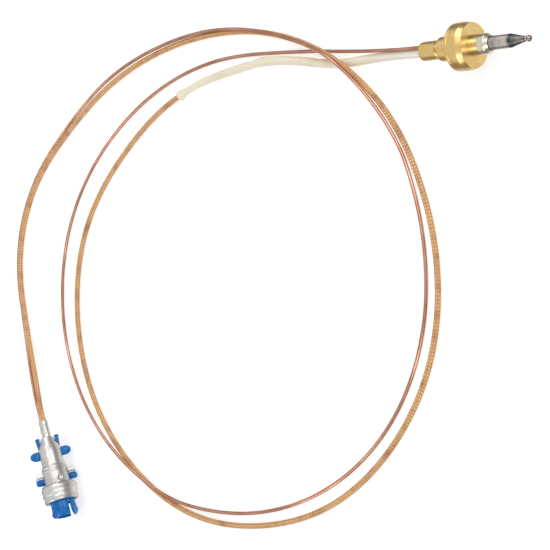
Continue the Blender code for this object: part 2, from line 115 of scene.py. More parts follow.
# Plug, with places along it from the rear of its crimp ferrule
FACE_MOUNT_RISE = 4.85  # of the record's front mount above the plug's axis
COLLAR_REAR = 21.0
COLLAR_FRONT = 26.6
EYELET_PLACE = 19.6
EYELET_TURN = -14.0
HOOD_WIDTH = 2.9
ARM_WIDTH = 1.8
NUB_WIDTH = 1.78
SPLIT_REAR = 27.3  # the saw cut across the spigot
SPLIT_LOW = 1.65
SPLIT_HIGH = 2.15
PRONG_REAR = 27.4
PRONG_MIDDLE = 3.1  # the prong's own centre line, out from the axis
PRONG_NARROWING_START = 29.2

# The route of each lead's centre line, from inside the head to inside the plug
COPPER_ROUTE = [
    (-11.6, 0.9, 7.1), (-18.5, 1.0, 6.95), (-27.5, 1.55, 5.85), (-36.3, 2.4, 3.9),
    (-46.0, 3.5, 1.9), (-56.5, 4.7, 0.9), (-72.0, 5.9, 0.5), (-94.3, 6.2, 0.5),
    (-116.4, 1.7, 0.5), (-136.6, -8.1, 0.5), (-153.7, -22.8, 0.5), (-165.2, -42.1, 0.5),
    (-168.5, -64.3, 0.5), (-162.0, -88.8, 0.6), (-149.3, -103.9, 1.7), (-129.5, -116.5, 2.75),
    (-113.0, -122.9, 1.8), (-99.0, -124.5, 0.7), (-81.0, -123.2, 0.5), (-61.5, -117.5, 0.5),
    (-43.2, -106.7, 0.5), (-28.1, -89.4, 0.5), (-20.5, -67.9, 0.5), (-21.1, -45.0, 0.5),
    (-28.2, -23.6, 0.7), (-34.8, -12.2, 3.0), (-47.3, 0.5, 5.2), (-64.3, 8.4, 3.0),
    (-74.9, 11.6, 2.35), (-99.1, 14.7, 1.95), (-123.4, 11.7, 1.8), (-146.6, 4.0, 1.0),
    (-167.3, -9.6, 0.5), (-184.6, -27.6, 0.5), (-192.0, -51.1, 0.5), (-189.0, -70.4, 0.7),
    (-183.2, -84.4, 2.7), (-177.8, -94.2, 4.7), (-173.4, -101.5, 5.95), (-170.2, -109.4, 5.95),
]
BRAID_ROUTE = [
    (-9.0, 0.0, 6.0), (-16.5, -0.2, 5.5), (-25.5, 0.2, 4.6), (-33.3, 0.5, 3.1),
    (-41.2, 0.5, 1.9), (-50.1, 0.7, 1.35), (-60.0, 2.1, 1.3), (-71.8, 3.6, 1.3),
    (-87.8, 2.6, 1.3), (-102.6, -0.1, 1.4), (-116.6, -5.1, 1.35), (-139.6, -20.5, 0.8),
    (-156.4, -42.4, 0.8), (-160.4, -69.8, 0.8), (-151.6, -96.0, 0.8), (-132.2, -115.7, 0.8),
    (-106.7, -126.4, 0.8), (-79.0, -126.6, 0.8), (-52.5, -118.3, 0.8), (-31.0, -100.9, 0.8),
    (-17.9, -76.6, 0.8), (-16.8, -48.9, 0.8), (-26.2, -22.9, 0.9), (-33.8, -11.5, 1.9),
    (-47.2, 0.6, 3.7), (-55.1, 4.8, 2.9), (-64.3, 8.4, 1.5), (-74.9, 11.5, 0.85),
    (-99.1, 13.7, 0.8), (-123.1, 10.5, 0.8), (-145.8, 2.2, 0.8), (-166.1, -11.1, 0.8),
    (-183.2, -28.4, 0.8), (-190.5, -51.3, 0.8), (-187.6, -70.0, 1.0), (-181.7, -83.7, 2.6),
    (-176.2, -93.4, 4.6), (-172.1, -101.0, 5.95), (-169.2, -107.9, 5.95), (-168.2, -111.7, 5.95),
    (-167.2, -114.3, 5.95),
]


# ---- Camera, floor and light ----


def add_camera():
    """Looks down on the leads from beyond the probe's tip, with the part's +Y upwards."""
    elevation = math.radians(CAMERA_ELEVATION)
    back = Vector((math.cos(elevation), 0.0, math.sin(elevation)))
    across = Vector((math.sin(elevation), 0.0, -math.cos(elevation)))
    place = Vector(CAMERA_TARGET) + CAMERA_DISTANCE * back
    turn = Matrix((across, Vector((0, 1, 0)), back)).transposed().to_4x4()
    data = bpy.data.cameras.new("camera")
    data.sensor_width = 36.0
    data.lens = CAMERA_LENS
    data.clip_start = CAMERA_NEAR
    camera = bpy.data.objects.new("camera", data)
    camera.matrix_world = Matrix.Translation(place) @ turn
    bpy.context.scene.collection.objects.link(camera)
    bpy.context.scene.camera = camera


def add_softbox(name, azimuth, elevation, distance, size, brightness):
    """A rectangular light that faces the part."""
    a, e = math.radians(azimuth), math.radians(elevation)
    out = Vector((math.cos(a) * math.cos(e), math.sin(a) * math.cos(e), math.sin(e)))
    data = bpy.data.lights.new(name, "AREA")
    data.shape = "RECTANGLE"
    data.size, data.size_y = size
    data.energy = brightness * math.pi * size[0] * size[1]
    light = bpy.data.objects.new(name, data)
    light.location = Vector(LIGHTS_TARGET) + distance * out
    light.rotation_mode = "QUATERNION"
    light.rotation_quaternion = out.to_track_quat("Z", "Y")
    light.visible_camera = False
    bpy.context.scene.collection.objects.link(light)


def add_world():
    """A tent that is brightest straight below, pale overhead and dimmest just below the horizon."""
    world = bpy.data.worlds.new("tent")
    world.use_nodes = True
    tree = world.node_tree
    split = tree.nodes.new("ShaderNodeSeparateXYZ")
    tree.links.new(coordinates(tree, "Generated"), split.inputs["Vector"])
    height = maths(tree, "ADD", maths(tree, "MULTIPLY", split.outputs["Z"], 0.5), 0.5)
    levels = [
        (0.0, 0.9), (0.14, 0.92), (0.27, 0.29), (0.48, 0.18), (0.55, 0.41), (0.68, 0.66), (0.95, 0.74),
    ]
    tent = colour_ramp(tree, height, levels)
    tree.links.new(tent, tree.nodes["Background"].inputs["Color"])
    bpy.context.scene.world = world


def add_surroundings():
    """The floor stays out of reflections, so that the metals show the tent and the rear cards."""
    scene = bpy.context.scene
    scene.view_settings.view_transform = "Standard"
    add_world()
    for side in (-1, 1):
        for name, azimuth, *others in PAIRED_LIGHTS:
            add_softbox(f"{name}_{side}", azimuth * side, *others)
    add_softbox(*OVERHEAD_LIGHT)
    material, tree, shader = new_material("floor", roughness=0.9)
    shader.inputs["Emission Color"].default_value = (1.0, 1.0, 1.0, 1.0)
    shader.inputs["Emission Strength"].default_value = FLOOR_GLOW
    grain = noise(tree, coordinates(tree, "Object"), 40.0)
    colour_ramp(tree, grain, [(0.3, 0.49), (0.7, 0.51)], shader)
    mesh = bpy.data.meshes.new("floor")
    corners = [(x * FLOOR_HALF, y * FLOOR_HALF, 0) for x, y in ((-1, -1), (1, -1), (1, 1), (-1, 1))]
    mesh.from_pydata(corners, [], [(0, 1, 2, 3)])
    mesh.materials.append(material)
    floor = bpy.data.objects.new("floor", mesh)
    floor.visible_glossy = False
    scene.collection.objects.link(floor)


# ---- Material tools ----


def new_material(name, metallic=0.0, roughness=0.5):
    """A material whose colour, and mostly its roughness too, is painted later by nodes."""
    material = bpy.data.materials.new(name)
    material.use_nodes = True
    tree = material.node_tree
    shader = tree.nodes["Principled BSDF"]
    shader.inputs["Roughness"].default_value = roughness
    shader.inputs["Metallic"].default_value = metallic
    return material, tree, shader


def coordinates(tree, kind):
    return tree.nodes.new("ShaderNodeTexCoord").outputs[kind]


def attribute(tree, name):
    node = tree.nodes.new("ShaderNodeAttribute")
    node.attribute_name = name
    return node.outputs["Fac"]


def scaled(tree, vector, scale):
    node = tree.nodes.new("ShaderNodeMapping")
    node.inputs["Scale"].default_value = scale
    tree.links.new(vector, node.inputs["Vector"])
    return node.outputs["Vector"]


def noise(tree, vector, scale, detail=3.0, roughness=0.55):
    node = tree.nodes.new("ShaderNodeTexNoise")
    node.inputs["Scale"].default_value = scale
    node.inputs["Detail"].default_value = detail
    node.inputs["Roughness"].default_value = roughness
    tree.links.new(vector, node.inputs["Vector"])
    return node.outputs["Fac"]


def colour_ramp(tree, value, stops, shader=None, socket="Base Color"):
    """Colours by value. The stops are (place, colour), or (place, number) for a grey. With a
    shader, the colours also drive its socket."""
    node = tree.nodes.new("ShaderNodeValToRGB")
    elements = node.color_ramp.elements
    while len(elements) < len(stops):
        elements.new(0.5)
    for element, (place, colour) in zip(elements, stops):
        element.position = place
        element.color = (*colour, 1.0) if isinstance(colour, tuple) else (colour,) * 3 + (1.0,)
    tree.links.new(value, node.inputs["Fac"])
    if shader:
        tree.links.new(node.outputs["Color"], shader.inputs[socket])
    return node.outputs["Color"]


def maths(tree, operation, first, second):
    node = tree.nodes.new("ShaderNodeMath")
    node.operation = operation
    for socket, value in zip(node.inputs, (first, second)):
        if isinstance(value, (int, float)):
            socket.default_value = value
        else:
            tree.links.new(value, socket)
    return node.outputs["Value"]


def mixed(tree, share, first, second, blend="MIX"):
    """Mixes two colours. The share is a number or a socket, and each colour a tuple or a socket."""
    node = tree.nodes.new("ShaderNodeMix")
    node.data_type = "RGBA"
    node.blend_type = blend
    factor, colour_a, colour_b = node.inputs[0], node.inputs[6], node.inputs[7]
    for socket, value in ((factor, share), (colour_a, first), (colour_b, second)):
        if isinstance(value, tuple):
            socket.default_value = (*value, 1.0)
        elif isinstance(value, float):
            socket.default_value = value
        else:
            tree.links.new(value, socket)
    return node.outputs[2]


def add_bump(tree, shader, height, distance):
    node = tree.nodes.new("ShaderNodeBump")
    node.inputs["Strength"].default_value = 1.0
    node.inputs["Distance"].default_value = distance * MM
    tree.links.new(height, node.inputs["Height"])
    tree.links.new(node.outputs["Normal"], shader.inputs["Normal"])


def turning_marks(tree, per_mm):
    """Noise that changes along the axis and outwards, and hardly round it, as a lathe leaves it."""
    share_round = 0.03
    split = tree.nodes.new("ShaderNodeSeparateXYZ")
    tree.links.new(coordinates(tree, "Object"), split.inputs["Vector"])
    y, z = split.outputs["Y"], split.outputs["Z"]
    squares = maths(tree, "ADD", maths(tree, "MULTIPLY", y, y), maths(tree, "MULTIPLY", z, z))
    join = tree.nodes.new("ShaderNodeCombineXYZ")
    tree.links.new(split.outputs["X"], join.inputs["X"])
    tree.links.new(maths(tree, "SQRT", squares, 0.0), join.inputs["Y"])
    tree.links.new(maths(tree, "MULTIPLY", z, share_round), join.inputs["Z"])
    return noise(tree, join.outputs["Vector"], per_mm / MM, 2.0)


# ---- Materials ----


def turned_brass():
    material, tree, shader = new_material("turned_brass", 1.0)
    cloud = noise(tree, coordinates(tree, "Object"), 420.0, 4.0)
    base = colour_ramp(tree, cloud, [(0.3, (0.95, 0.62, 0.21)), (0.7, (1.0, 0.74, 0.32))])
    marks = turning_marks(tree, 5.0)
    tint = colour_ramp(tree, marks, [(0.35, 0.84), (0.65, 1.0)])
    tree.links.new(mixed(tree, 1.0, base, tint, "MULTIPLY"), shader.inputs["Base Color"])
    colour_ramp(tree, cloud, [(0.3, 0.36), (0.7, 0.25)], shader, "Roughness")
    add_bump(tree, shader, marks, 0.01)
    return material


def plated_nickel():
    material, tree, shader = new_material("plated_nickel", 1.0)
    marks = turning_marks(tree, 6.0)
    colour_ramp(tree, marks, [(0.3, (0.74, 0.67, 0.54)), (0.7, (0.92, 0.84, 0.69))], shader)
    cloud = noise(tree, coordinates(tree, "Object"), 700.0)
    colour_ramp(tree, cloud, [(0.3, 0.12), (0.7, 0.28)], shader, "Roughness")
    add_bump(tree, shader, marks, 0.006)
    return material


def heat_tinted_steel():
    """The probe's colours run along it: mottled grey, paler, then nearly black and brown on the cone."""
    material, tree, shader = new_material("heat_tinted_steel", 1.0)
    split = tree.nodes.new("ShaderNodeSeparateXYZ")
    tree.links.new(coordinates(tree, "Object"), split.inputs["Vector"])
    span = 13.0  # where the last colour has been reached
    place = maths(tree, "DIVIDE", split.outputs["X"], span * MM)
    mottle = noise(tree, coordinates(tree, "Object"), 900.0, 4.0, 0.65)
    shift = maths(tree, "MULTIPLY", maths(tree, "SUBTRACT", mottle, 0.5), 0.05)
    shifted = maths(tree, "ADD", place, shift)
    steps = [
        (4.5, (0.46, 0.42, 0.41)),
        (6.2, (0.52, 0.47, 0.45)),
        (7.0, (0.68, 0.62, 0.55)),
        (9.6, (0.70, 0.64, 0.56)),
        (10.1, (0.46, 0.36, 0.32)),
        (10.5, (0.06, 0.07, 0.08)),
        (11.4, (0.12, 0.16, 0.17)),
        (12.7, (0.27, 0.23, 0.21)),
    ]
    tint = colour_ramp(tree, shifted, [(x / span, colour) for x, colour in steps])
    spots = colour_ramp(tree, mottle, [(0.3, 0.6), (0.62, 1.0)])
    tree.links.new(mixed(tree, 1.0, tint, spots, "MULTIPLY"), shader.inputs["Base Color"])
    colour_ramp(tree, mottle, [(0.3, 0.42), (0.7, 0.24)], shader, "Roughness")
    add_bump(tree, shader, turning_marks(tree, 4.0), 0.01)
    return material


def bead_steel():
    material, tree, shader = new_material("bead_steel", 1.0, 0.22)
    spots = noise(tree, coordinates(tree, "Object"), 1500.0, 3.0)
    colour_ramp(tree, spots, [(0.35, (0.22, 0.17, 0.15)), (0.6, (0.55, 0.47, 0.42))], shader)
    add_bump(tree, shader, spots, 0.015)
    return material


def drawn_copper():
    material, tree, shader = new_material("drawn_copper", 1.0)
    lines = noise(tree, scaled(tree, coordinates(tree, "UV"), (14.0, 0.6, 1.0)), 1.0, 3.0)
    cloud = noise(tree, coordinates(tree, "Object"), 120.0, 3.0)
    base = colour_ramp(tree, cloud, [(0.35, (0.60, 0.27, 0.17)), (0.65, (0.78, 0.42, 0.29))])
    streak = colour_ramp(tree, lines, [(0.3, 0.82), (0.6, 1.0)])
    tree.links.new(mixed(tree, 1.0, base, streak, "MULTIPLY"), shader.inputs["Base Color"])
    colour_ramp(tree, lines, [(0.3, 0.34), (0.7, 0.2)], shader, "Roughness")
    add_bump(tree, shader, lines, 0.006)
    return material


def varnished_braid():
    """The weave's height colours it: painted shade dark between the strands, golden on their backs. The
    strands that wind one way are browner, and the varnish is stained."""
    material, tree, shader = new_material("varnished_braid")
    # Painted shade: the dark low end of this ramp darkens the crevices between the strands.
    strand_colour_with_crevice_shade = [(0.0, (0.20, 0.08, 0.02)), (0.35, (0.58, 0.31, 0.11)), (0.8, (0.90, 0.58, 0.27))]
    base = colour_ramp(tree, attribute(tree, "weave"), strand_colour_with_crevice_shade)
    winding = [(0.0, (0.74, 0.60, 0.48)), (1.0, (1.0, 1.0, 1.0))]
    strands = colour_ramp(tree, attribute(tree, "winding"), winding)
    base = mixed(tree, 1.0, base, strands, "MULTIPLY")
    cloud = noise(tree, coordinates(tree, "Object"), 260.0, 4.0, 0.6)
    stains = [(0.3, (0.62, 0.50, 0.42)), (0.5, (0.95, 0.9, 0.85)), (0.75, (1.0, 1.0, 0.9))]
    stain = colour_ramp(tree, cloud, stains)
    tree.links.new(mixed(tree, 1.0, base, stain, "MULTIPLY"), shader.inputs["Base Color"])
    fibres = noise(tree, scaled(tree, coordinates(tree, "UV"), (60.0, 12.0, 1.0)), 1.0, 2.0)
    colour_ramp(tree, fibres, [(0.3, 0.5), (0.7, 0.34)], shader, "Roughness")
    shader.inputs["Coat Weight"].default_value = 0.6
    shader.inputs["Coat Roughness"].default_value = 0.3
    add_bump(tree, shader, fibres, 0.012)
    return material


def coated_sleeving():
    """Cream glass sleeving, whiter and faintly striped where it leaves the neck."""
    material, tree, shader = new_material("coated_sleeving")
    along = tree.nodes.new("ShaderNodeSeparateXYZ")
    tree.links.new(coordinates(tree, "UV"), along.inputs["Vector"])
    white_length = 4.0  # in centimetres, as the UV is
    share = maths(tree, "DIVIDE", along.outputs["Y"], white_length)
    near = colour_ramp(tree, share, [(0.1, 1.0), (0.9, 0.0)])
    stripes = noise(tree, scaled(tree, coordinates(tree, "UV"), (26.0, 0.25, 1.0)), 1.0, 2.0)
    white = colour_ramp(tree, stripes, [(0.35, (0.70, 0.63, 0.55)), (0.6, (0.95, 0.92, 0.86))])
    cloud = noise(tree, coordinates(tree, "Object"), 90.0, 4.0)
    cream = colour_ramp(tree, cloud, [(0.3, (0.78, 0.68, 0.50)), (0.7, (0.87, 0.79, 0.63))])
    tree.links.new(mixed(tree, near, cream, white), shader.inputs["Base Color"])
    fine = noise(tree, scaled(tree, coordinates(tree, "UV"), (36.0, 18.0, 1.0)), 1.0, 2.0)
    colour_ramp(tree, fine, [(0.3, 0.62), (0.7, 0.46)], shader, "Roughness")
    shader.inputs["Subsurface Weight"].default_value = 0.15
    shader.inputs["Subsurface Radius"].default_value = (0.001, 0.0008, 0.0005)
    shader.inputs["Subsurface Scale"].default_value = 1.0
    add_bump(tree, shader, fine, 0.02)
    return material


def tinned_metal(name="tinned_metal", marks_per_mm=3.0):
    material, tree, shader = new_material(name, 1.0)
    marks = turning_marks(tree, marks_per_mm)
    cloud = noise(tree, coordinates(tree, "Object"), 260.0, 4.0)
    base = colour_ramp(tree, cloud, [(0.3, (0.66, 0.645, 0.62)), (0.7, (0.84, 0.83, 0.81))])
    tint = colour_ramp(tree, marks, [(0.35, 0.9), (0.65, 1.0)])
    tree.links.new(mixed(tree, 1.0, base, tint, "MULTIPLY"), shader.inputs["Base Color"])
    colour_ramp(tree, cloud, [(0.3, 0.42), (0.7, 0.34)], shader, "Roughness")
    add_bump(tree, shader, marks, 0.0012)
    return material


def moulded_blue():
    material, tree, shader = new_material("moulded_blue")
    cloud = noise(tree, coordinates(tree, "Object"), 600.0, 3.0)
    colour_ramp(tree, cloud, [(0.3, (0.0, 0.08, 0.34)), (0.7, (0.0, 0.20, 0.54))], shader)
    fine = noise(tree, coordinates(tree, "Object"), 2400.0, 2.0)
    colour_ramp(tree, fine, [(0.3, 0.24), (0.7, 0.16)], shader, "Roughness")
    shader.inputs["Specular IOR Level"].default_value = 0.3
    add_bump(tree, shader, fine, 0.004)
    return material


def plain_inner(name, colour, roughness, metallic):
    """For the pieces inside the head and the plug."""
    material, tree, shader = new_material(name, metallic, roughness)
    cloud = noise(tree, coordinates(tree, "Object"), 800.0)
    darker = tuple(0.75 * part for part in colour)
    colour_ramp(tree, cloud, [(0.3, darker), (0.7, colour)], shader)
    return material


# ---- Mesh tools ----


def filleted(corners):
    """A closed outline from (x, y) or (x, y, fillet) corners, each fillet a short curve."""
    outline = []
    for i, corner in enumerate(corners):
        here = Vector(corner[:2])
        fillet = corner[2] if len(corner) > 2 else 0.0
        if not fillet:
            outline.append(tuple(here))
            continue
        before = Vector(corners[i - 1][:2]) - here
        after = Vector(corners[(i + 1) % len(corners)][:2]) - here
        start = here + before.normalized() * min(fillet, before.length / 2)
        end = here + after.normalized() * min(fillet, after.length / 2)
        for step in range(FILLET_STEPS + 1):
            t = step / FILLET_STEPS
            outline.append(tuple(start * (1 - t) ** 2 + here * 2 * t * (1 - t) + end * t**2))
    return outline


def arc(centre, radius, start, end, steps):
    """Points of an arc, from one angle to another in degrees."""
    turn = np.radians(np.linspace(start, end, steps + 1))
    return [(centre[0] + radius * math.cos(t), centre[1] + radius * math.sin(t)) for t in turn]


def finished_mesh(name, bm, sharp):
    """A mesh from a bmesh, smooth but for edges that turn by more than sharp degrees."""
    bmesh.ops.remove_doubles(bm, verts=bm.verts, dist=MERGE_DISTANCE)
    bmesh.ops.recalc_face_normals(bm, faces=bm.faces)
    mesh = bpy.data.meshes.new(name)
    bm.to_mesh(mesh)
    bm.free()
    mesh.shade_smooth()
    mesh.set_sharp_from_angle(angle=math.radians(sharp))
    return mesh


def turned_mesh(name, corners, sides=ROUND):
    """A solid of revolution about +X. Two neighbouring corners may lie on the axis."""
    outline = filleted(corners)
    bm = bmesh.new()
    rings = []
    for k in range(sides):
        turn = math.tau * k / sides
        y, z = -math.sin(turn) * MM, math.cos(turn) * MM
        rings.append([bm.verts.new((x * MM, r * y, r * z)) for x, r in outline])
    for before, ring in zip(rings[-1:] + rings, rings):
        for i in range(len(outline)):
            if outline[i - 1][1] > ON_AXIS or outline[i][1] > ON_AXIS:
                bm.faces.new((before[i - 1], before[i], ring[i], ring[i - 1]))
    return finished_mesh(name, bm, SHARP_ANGLE)


def stacked_mesh(name, layers, sharp=SHARP_ANGLE):
    """A solid from (height, outline) layers, whose outlines have as many points as each other."""
    bm = bmesh.new()
    loops = []
    for height, outline in layers:
        loops.append([bm.verts.new((x * MM, y * MM, height * MM)) for x, y in outline])
    for first, second in zip(loops, loops[1:]):
        for k in range(len(first)):
            bm.faces.new((first[k - 1], first[k], second[k], second[k - 1]))
    bm.faces.new(loops[0])
    bm.faces.new(loops[-1])
    return finished_mesh(name, bm, sharp)


def inset(corners, depth):
    """The corners moved inwards by a depth from both of their sides, and less at a sharp corner."""
    least_share = 0.35
    points = [Vector(corner[:2]) for corner in corners]
    area = sum(a.x * b.y - a.y * b.x for a, b in zip(points, points[1:] + points[:1]))
    moved = []
    for i, point in enumerate(points):
        before = (point - points[i - 1]).normalized()
        after = (points[(i + 1) % len(points)] - point).normalized()
        inwards = Vector((-before.y - after.y, before.x + after.x)).normalized()
        inwards *= math.copysign(1.0, area)
        share = max(least_share, abs(inwards.dot(Vector((-before.y, before.x)))))
        moved.append((*(point + inwards * depth / share), *corners[i][2:]))
    return moved


def domed_mesh(name, corners, width, rounding):
    """An extruded outline whose edges are rounded over on both faces."""
    turns = [math.pi / 2 * step / DOME_STEPS for step in range(DOME_STEPS + 1)]
    upper = [(width / 2 - rounding * (1 - math.cos(t)), rounding * (1 - math.sin(t))) for t in turns]
    lower = [(-height, depth) for height, depth in upper]
    layers = [(height, filleted(inset(corners, depth))) for height, depth in lower + upper[::-1]]
    return stacked_mesh(name, layers, sharp=50.0)


def box_mesh(low, high):
    bm = bmesh.new()
    middle = (Vector(low) + Vector(high)) * MM / 2
    size = (Vector(high) - Vector(low)) * MM
    bmesh.ops.create_cube(bm, size=1.0, matrix=Matrix.Translation(middle) @ Matrix.Diagonal((*size, 1)))
    return finished_mesh("box", bm, SHARP_ANGLE)


def turned_by(mesh, degrees):
    mesh.transform(Matrix.Rotation(math.radians(degrees), 4, "X"))
    return mesh


def add_piece(name, mesh, place, material, body, node):
    """A piece on a body, in place of its CAD node."""
    obj = bpy.data.objects.new(name, mesh)
    mesh.materials.clear()
    mesh.materials.append(material)
    obj.matrix_world = place
    bpy.context.scene.collection.objects.link(obj)
    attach(obj, body)
    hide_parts(node)
    return obj


def carve(obj, cuts, joins=()):
    """Cuts and joins meshes in the object's own space, and keeps the result as its mesh."""
    tools = []
    for operation, meshes in (("DIFFERENCE", cuts), ("UNION", joins)):
        for mesh in meshes:
            tool = bpy.data.objects.new("tool", mesh)
            tool.matrix_world = obj.matrix_world
            tool.hide_render = True
            bpy.context.scene.collection.objects.link(tool)
            modifier = obj.modifiers.new("carve", "BOOLEAN")
            modifier.operation = operation
            modifier.solver = "EXACT"
            modifier.object = tool
            tools.append(tool)
    bpy.context.view_layer.update()
    graph = bpy.context.evaluated_depsgraph_get()
    carved = bpy.data.meshes.new_from_object(obj.evaluated_get(graph))
    obj.modifiers.clear()
    obj.data = carved
    carved.shade_smooth()
    carved.set_sharp_from_angle(angle=math.radians(30))
    for tool in tools:
        bpy.data.objects.remove(tool)


# ---- Leads ----


def smooth_route(route, step):
    """(distances, points) in mm along the natural cubic through a route, about one step apart."""
    points = np.array(route)
    places = np.concatenate([[0.0], np.cumsum(np.linalg.norm(np.diff(points, axis=0), axis=1))])
    gap = np.diff(places)
    slope = np.diff(points, axis=0) / gap[:, None]
    matrix, right = np.eye(len(points)), np.zeros_like(points)
    for i in range(1, len(points) - 1):
        matrix[i, i - 1 : i + 2] = gap[i - 1], 2 * (gap[i - 1] + gap[i]), gap[i]
        right[i] = 6 * (slope[i] - slope[i - 1])
    bend = np.linalg.solve(matrix, right)
    wanted = np.linspace(0.0, places[-1], round(places[-1] / step) + 1)
    i = np.clip(np.searchsorted(places, wanted, side="right") - 1, 0, len(gap) - 1)
    width = gap[i][:, None]
    before, after = (places[i + 1] - wanted)[:, None], (wanted - places[i])[:, None]
    curve = bend[i] * before**3 / (6 * width) + bend[i + 1] * after**3 / (6 * width)
    curve += (points[i] / width - bend[i] * width / 6) * before
    curve += (points[i + 1] / width - bend[i + 1] * width / 6) * after
    return wanted, curve


def tube_frames(line):
    """The sideways and upward unit vectors of a tube that follows a line of points."""
    ahead = np.gradient(line, axis=0)
    ahead /= np.linalg.norm(ahead, axis=1)[:, None]
    side = np.cross(ahead, (0.0, 0.0, 1.0))
    side /= np.linalg.norm(side, axis=1)[:, None]
    return side, np.cross(side, ahead)


def tube_mesh(name, line, radii, places):
    """A tube with capped ends through the line, from radii[ring][side] in mm. Its UV is turns round
    and centimetres along, and its underside stays just above the floor."""
    side, up = tube_frames(line)
    rings, sides = radii.shape
    turn = np.arange(sides) / sides
    out = side[:, None, :] * np.cos(math.tau * turn)[None, :, None]
    out = out + up[:, None, :] * np.sin(math.tau * turn)[None, :, None]
    points = line[:, None, :] + radii[:, :, None] * out
    points[:, :, 2] = np.maximum(points[:, :, 2], FLOOR_GAP)
    ring, k = np.meshgrid(np.arange(rings - 1), np.arange(sides), indexing="ij")
    after, beside = ring + 1, (k + 1) % sides
    corners = [ring * sides + k, after * sides + k, after * sides + beside, ring * sides + beside]
    faces = np.stack(corners, -1).reshape(-1, 4).tolist()
    faces += [list(range(sides)), list(range(rings * sides - 1, (rings - 1) * sides - 1, -1))]
    mesh = bpy.data.meshes.new(name)
    mesh.from_pydata((points.reshape(-1, 3) * MM).tolist(), [], faces)
    across = np.stack([k, k, k + 1, k + 1], -1) / sides
    along = places[np.stack([ring, after, after, ring], -1)] / 10.0
    uv = np.stack([across, along], -1).reshape(-1, 2)
    layer = mesh.uv_layers.new(name="UVMap")
    caps = np.zeros((len(layer.data) - len(uv), 2))
    layer.data.foreach_set("uv", np.concatenate([uv, caps]).astype(np.float32).ravel())
    mesh.shade_smooth()
    return mesh


def add_copper_lead(material):
    """Drawn wire with the shallow dents of handling."""
    dent_spacing, dent_twist = 3.1, 41.0
    places, line = smooth_route(COPPER_ROUTE, COPPER_STEP)
    line[:, 2] = np.maximum(line[:, 2], COPPER_RADIUS + FLOOR_GAP)
    turn, place = np.meshgrid(np.arange(COPPER_SIDES) / COPPER_SIDES, places)
    dents = DENT_DEPTH * np.sin(place / dent_spacing) * np.sin(math.tau * (turn + place / dent_twist))
    mesh = tube_mesh("copper_wire", line, COPPER_RADIUS + dents, places)
    here = Matrix.Identity(4)
    return add_piece("copper_wire", mesh, here, material, "root", "copper_lead"), line


def weave(turn, place):
    """Height, 0 to 1, of strands that cross over and under each other round a lead, and which way
    the upper strand winds, 0 or 1."""
    first = BRAID_STRANDS * turn + place / BRAID_PITCH
    second = BRAID_STRANDS * turn - place / BRAID_PITCH
    over = (np.floor(first) + np.floor(second)) % 2 < 1
    across = 1.0 - (2.0 * (np.where(over, first, second) % 1.0) - 1.0) ** 2
    along = np.sin(math.pi * (np.where(over, second, first) % 1.0))
    return np.sqrt(across) * (BRAID_DIP + (1.0 - BRAID_DIP) * along), over


def braid_line(step):
    """The braided lead's centre line, lifted a little where its sleeve lies on the table."""
    past_mouth, settling = 6.0, 3.0
    places, line = smooth_route(BRAID_ROUTE, step)
    inside = 1.0 / (1.0 + np.exp((places - SLEEVE_END - past_mouth) / settling))
    height = BRAID_RADIUS + (SLEEVE_RADIUS - BRAID_RADIUS) * inside
    line[:, 2] = np.maximum(line[:, 2], height + FLOOR_GAP)
    return places, line


def add_braided_lead(material):
    """The strands stand out from the mesh, which also carries what colours them."""
    places, line = braid_line(BRAID_STEP)
    turn, place = np.meshgrid(np.arange(BRAID_SIDES) / BRAID_SIDES, places)
    height, winding = weave(turn, place)
    level = 0.7  # the weave's height that lies at the lead's own radius
    mesh = tube_mesh("braided_cable", line, BRAID_RADIUS - BRAID_RELIEF * (level - height), places)
    for name, values in (("weave", height), ("winding", winding)):
        layer = mesh.attributes.new(name, "FLOAT", "POINT")
        layer.data.foreach_set("value", values.astype(np.float32).ravel())
    here = Matrix.Identity(4)
    return add_piece("braided_cable", mesh, here, material, "root", "insulated_lead"), line


def sleeve_radius(place, turn):
    """Outer radius of the sleeve: soft creases where it bends, a waist, then a flared mouth."""
    share = (place - SLEEVE_START) / (SLEEVE_END - SLEEVE_START)
    wobble = 0.05 * np.sin(place / 5.3) * np.sin(math.tau * turn + place / 9.0)
    radius = SLEEVE_RADIUS - 0.02 + wobble
    for crease, depth, width, angle in SLEEVE_CREASES:
        dent = np.exp(-(((place - crease) / width) ** 2)) * (0.5 + 0.5 * np.cos(math.tau * (turn - angle)))
        radius = radius - depth * dent
    waist_start, waist_span = 0.72, 0.2
    waist = np.clip((share - waist_start) / waist_span, 0.0, 1.0)
    mouth = np.clip((place - (SLEEVE_END - MOUTH_LENGTH)) / MOUTH_LENGTH, 0.0, 1.0)
    return radius - WAIST_DEPTH * waist * waist * (3 - 2 * waist) + MOUTH_FLARE * mouth**2


def add_sleeve(material):
    places, line = braid_line(SLEEVE_STEP)
    chosen = (places >= SLEEVE_START) & (places <= SLEEVE_END)
    places, line = places[chosen], line[chosen]
    turn, place = np.meshgrid(np.arange(SLEEVE_SIDES) / SLEEVE_SIDES, places)
    outer = sleeve_radius(place, turn)
    outer[-1] -= SLEEVE_LIP
    inner = outer - SLEEVE_WALL
    inner[-1] += SLEEVE_LIP
    mesh = hollow_tube("sleeve", line, outer, inner, places)
    return add_piece("sleeve", mesh, Matrix.Identity(4), material, "root", "insulating_sleeve")


